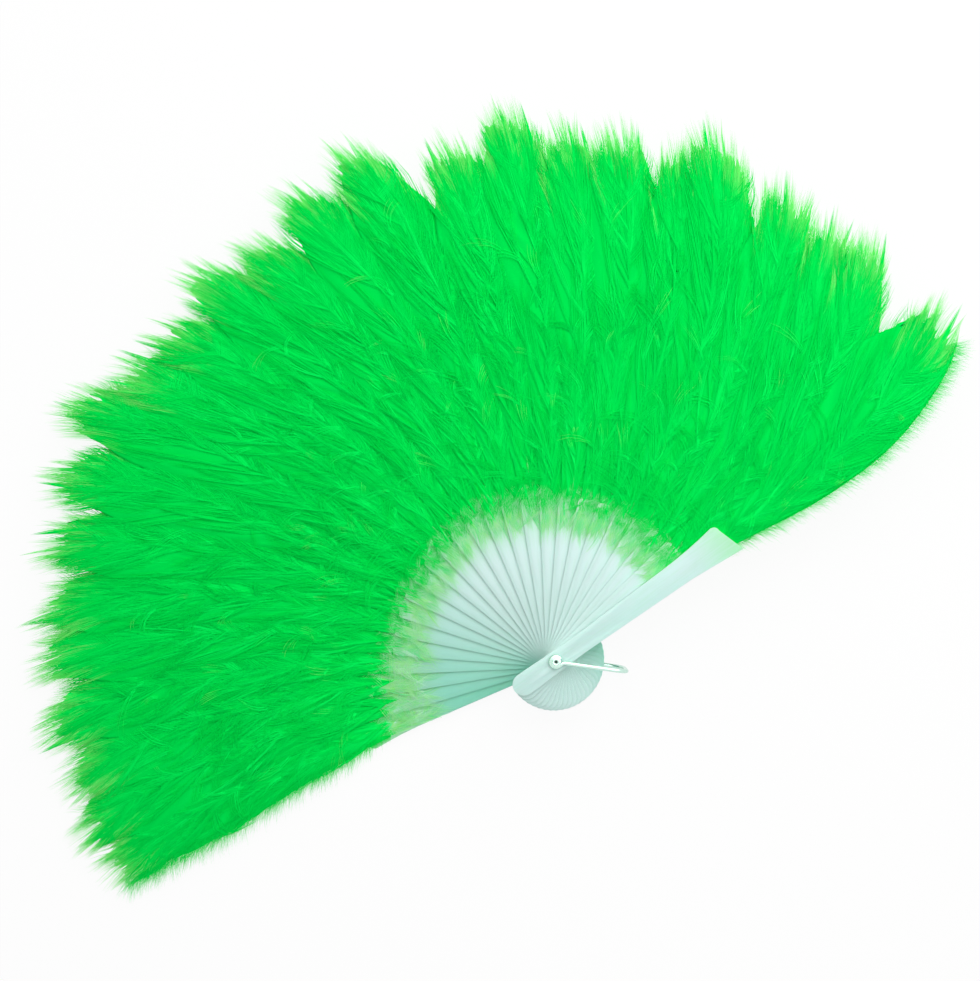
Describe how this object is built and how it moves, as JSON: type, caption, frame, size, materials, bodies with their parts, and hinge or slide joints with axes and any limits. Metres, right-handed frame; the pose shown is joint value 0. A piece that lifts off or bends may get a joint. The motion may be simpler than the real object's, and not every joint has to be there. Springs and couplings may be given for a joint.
{
  "type": "feather folding fan",
  "caption": "Folding hand fan of flat plastic staves on one rivet with a wire bail, each stave tipped with a fluffy dyed plume.",
  "frame": {"origin": "centre of the flat back head of the rivet, on the axis that every stave turns about", "axes": "+Z along the rivet towards the front of the fan, +Y along the middle stave of the spread fan, +X towards the front guard's side"},
  "size_m": [0.4827, 0.2854, 0.0357],
  "materials": {
    "stave_plastic": "moulded, milky mint",
    "plume_feather": "dyed feather, fluffy",
    "rivet_metal": "nickel plated",
    "bail_metal": "nickel plated wire",
    "thread": "twisted thread"
  },
  "bodies": {
    "back_leaf": {"back_guard": "stave_plastic", "plume_01": "plume_feather", "rivet_pin": "rivet_metal", "rivet_collar": "rivet_metal", "link_thread": "thread"},
    "leaf_02": {"stave_02": "stave_plastic", "plume_02": "plume_feather"},
    "leaf_03": {"stave_03": "stave_plastic", "plume_03": "plume_feather"},
    "leaf_04": {"stave_04": "stave_plastic", "plume_04": "plume_feather"},
    "leaf_05": {"stave_05": "stave_plastic", "plume_05": "plume_feather"},
    "leaf_06": {"stave_06": "stave_plastic", "plume_06": "plume_feather"},
    "leaf_07": {"stave_07": "stave_plastic", "plume_07": "plume_feather"},
    "leaf_08": {"stave_08": "stave_plastic", "plume_08": "plume_feather"},
    "leaf_09": {"stave_09": "stave_plastic", "plume_09": "plume_feather"},
    "leaf_10": {"stave_10": "stave_plastic", "plume_10": "plume_feather"},
    "leaf_11": {"stave_11": "stave_plastic", "plume_11": "plume_feather"},
    "leaf_12": {"stave_12": "stave_plastic", "plume_12": "plume_feather"},
    "leaf_13": {"stave_13": "stave_plastic", "plume_13": "plume_feather"},
    "leaf_14": {"stave_14": "stave_plastic", "plume_14": "plume_feather"},
    "leaf_15": {"stave_15": "stave_plastic", "plume_15": "plume_feather"},
    "leaf_16": {"stave_16": "stave_plastic", "plume_16": "plume_feather"},
    "leaf_17": {"stave_17": "stave_plastic", "plume_17": "plume_feather"},
    "leaf_18": {"stave_18": "stave_plastic", "plume_18": "plume_feather"},
    "leaf_19": {"stave_19": "stave_plastic", "plume_19": "plume_feather"},
    "leaf_20": {"stave_20": "stave_plastic", "plume_20": "plume_feather"},
    "leaf_21": {"stave_21": "stave_plastic", "plume_21": "plume_feather"},
    "leaf_22": {"stave_22": "stave_plastic", "plume_22": "plume_feather"},
    "leaf_23": {"stave_23": "stave_plastic", "plume_23": "plume_feather"},
    "leaf_24": {"stave_24": "stave_plastic", "plume_24": "plume_feather"},
    "front_leaf": {"front_guard": "stave_plastic", "plume_25": "plume_feather"},
    "bail": {"bail": "bail_metal"}
  },
  "joints": [
    {"name": "fan_fold", "type": "hinge", "parent": "back_leaf", "child": "front_leaf", "pos_m": [0, 0, 0], "axis": [0, 0, 1], "range_deg": [0, 166.3], "deforming": ["link_thread"]},
    {"name": "fold_02", "type": "hinge", "parent": "back_leaf", "child": "leaf_02", "pos_m": [0, 0, 0], "axis": [0, 0, 1], "range_deg": [0, 6.94]},
    {"name": "fold_03", "type": "hinge", "parent": "back_leaf", "child": "leaf_03", "pos_m": [0, 0, 0], "axis": [0, 0, 1], "range_deg": [0, 13.87]},
    {"name": "fold_04", "type": "hinge", "parent": "back_leaf", "child": "leaf_04", "pos_m": [0, 0, 0], "axis": [0, 0, 1], "range_deg": [0, 20.8]},
    {"name": "fold_05", "type": "hinge", "parent": "back_leaf", "child": "leaf_05", "pos_m": [0, 0, 0], "axis": [0, 0, 1], "range_deg": [0, 27.73]},
    {"name": "fold_06", "type": "hinge", "parent": "back_leaf", "child": "leaf_06", "pos_m": [0, 0, 0], "axis": [0, 0, 1], "range_deg": [0, 34.66]},
    {"name": "fold_07", "type": "hinge", "parent": "back_leaf", "child": "leaf_07", "pos_m": [0, 0, 0], "axis": [0, 0, 1], "range_deg": [0, 41.59]},
    {"name": "fold_08", "type": "hinge", "parent": "back_leaf", "child": "leaf_08", "pos_m": [0, 0, 0], "axis": [0, 0, 1], "range_deg": [0, 48.52]},
    {"name": "fold_09", "type": "hinge", "parent": "back_leaf", "child": "leaf_09", "pos_m": [0, 0, 0], "axis": [0, 0, 1], "range_deg": [0, 55.45]},
    {"name": "fold_10", "type": "hinge", "parent": "back_leaf", "child": "leaf_10", "pos_m": [0, 0, 0], "axis": [0, 0, 1], "range_deg": [0, 62.38]},
    {"name": "fold_11", "type": "hinge", "parent": "back_leaf", "child": "leaf_11", "pos_m": [0, 0, 0], "axis": [0, 0, 1], "range_deg": [0, 69.31]},
    {"name": "fold_12", "type": "hinge", "parent": "back_leaf", "child": "leaf_12", "pos_m": [0, 0, 0], "axis": [0, 0, 1], "range_deg": [0, 76.24]},
    {"name": "fold_13", "type": "hinge", "parent": "back_leaf", "child": "leaf_13", "pos_m": [0, 0, 0], "axis": [0, 0, 1], "range_deg": [0, 83.16]},
    {"name": "fold_14", "type": "hinge", "parent": "back_leaf", "child": "leaf_14", "pos_m": [0, 0, 0], "axis": [0, 0, 1], "range_deg": [0, 90.09]},
    {"name": "fold_15", "type": "hinge", "parent": "back_leaf", "child": "leaf_15", "pos_m": [0, 0, 0], "axis": [0, 0, 1], "range_deg": [0, 97.02]},
    {"name": "fold_16", "type": "hinge", "parent": "back_leaf", "child": "leaf_16", "pos_m": [0, 0, 0], "axis": [0, 0, 1], "range_deg": [0, 103.95]},
    {"name": "fold_17", "type": "hinge", "parent": "back_leaf", "child": "leaf_17", "pos_m": [0, 0, 0], "axis": [0, 0, 1], "range_deg": [0, 110.88]},
    {"name": "fold_18", "type": "hinge", "parent": "back_leaf", "child": "leaf_18", "pos_m": [0, 0, 0], "axis": [0, 0, 1], "range_deg": [0, 117.81]},
    {"name": "fold_19", "type": "hinge", "parent": "back_leaf", "child": "leaf_19", "pos_m": [0, 0, 0], "axis": [0, 0, 1], "range_deg": [0, 124.74]},
    {"name": "fold_20", "type": "hinge", "parent": "back_leaf", "child": "leaf_20", "pos_m": [0, 0, 0], "axis": [0, 0, 1], "range_deg": [0, 131.67]},
    {"name": "fold_21", "type": "hinge", "parent": "back_leaf", "child": "leaf_21", "pos_m": [0, 0, 0], "axis": [0, 0, 1], "range_deg": [0, 138.6]},
    {"name": "fold_22", "type": "hinge", "parent": "back_leaf", "child": "leaf_22", "pos_m": [0, 0, 0], "axis": [0, 0, 1], "range_deg": [0, 145.53]},
    {"name": "fold_23", "type": "hinge", "parent": "back_leaf", "child": "leaf_23", "pos_m": [0, 0, 0], "axis": [0, 0, 1], "range_deg": [0, 152.46]},
    {"name": "fold_24", "type": "hinge", "parent": "back_leaf", "child": "leaf_24", "pos_m": [0, 0, 0], "axis": [0, 0, 1], "range_deg": [0, 159.39]},
    {"name": "bail_swing", "type": "hinge", "parent": "back_leaf", "child": "bail", "pos_m": [0, 0, 0], "axis": [0, 0, 1], "range_deg": [-132, 27]}
  ],
  "couplings": [
    {"joint": "fold_02", "follows": "fan_fold", "ratio": 0.041667},
    {"joint": "fold_03", "follows": "fan_fold", "ratio": 0.083333},
    {"joint": "fold_04", "follows": "fan_fold", "ratio": 0.125},
    {"joint": "fold_05", "follows": "fan_fold", "ratio": 0.16667},
    {"joint": "fold_06", "follows": "fan_fold", "ratio": 0.20833},
    {"joint": "fold_07", "follows": "fan_fold", "ratio": 0.25},
    {"joint": "fold_08", "follows": "fan_fold", "ratio": 0.29167},
    {"joint": "fold_09", "follows": "fan_fold", "ratio": 0.33333},
    {"joint": "fold_10", "follows": "fan_fold", "ratio": 0.375},
    {"joint": "fold_11", "follows": "fan_fold", "ratio": 0.41667},
    {"joint": "fold_12", "follows": "fan_fold", "ratio": 0.45833},
    {"joint": "fold_13", "follows": "fan_fold", "ratio": 0.5},
    {"joint": "fold_14", "follows": "fan_fold", "ratio": 0.54167},
    {"joint": "fold_15", "follows": "fan_fold", "ratio": 0.58333},
    {"joint": "fold_16", "follows": "fan_fold", "ratio": 0.625},
    {"joint": "fold_17", "follows": "fan_fold", "ratio": 0.66667},
    {"joint": "fold_18", "follows": "fan_fold", "ratio": 0.70833},
    {"joint": "fold_19", "follows": "fan_fold", "ratio": 0.75},
    {"joint": "fold_20", "follows": "fan_fold", "ratio": 0.79167},
    {"joint": "fold_21", "follows": "fan_fold", "ratio": 0.83333},
    {"joint": "fold_22", "follows": "fan_fold", "ratio": 0.875},
    {"joint": "fold_23", "follows": "fan_fold", "ratio": 0.91667},
    {"joint": "fold_24", "follows": "fan_fold", "ratio": 0.95833}
  ]
}
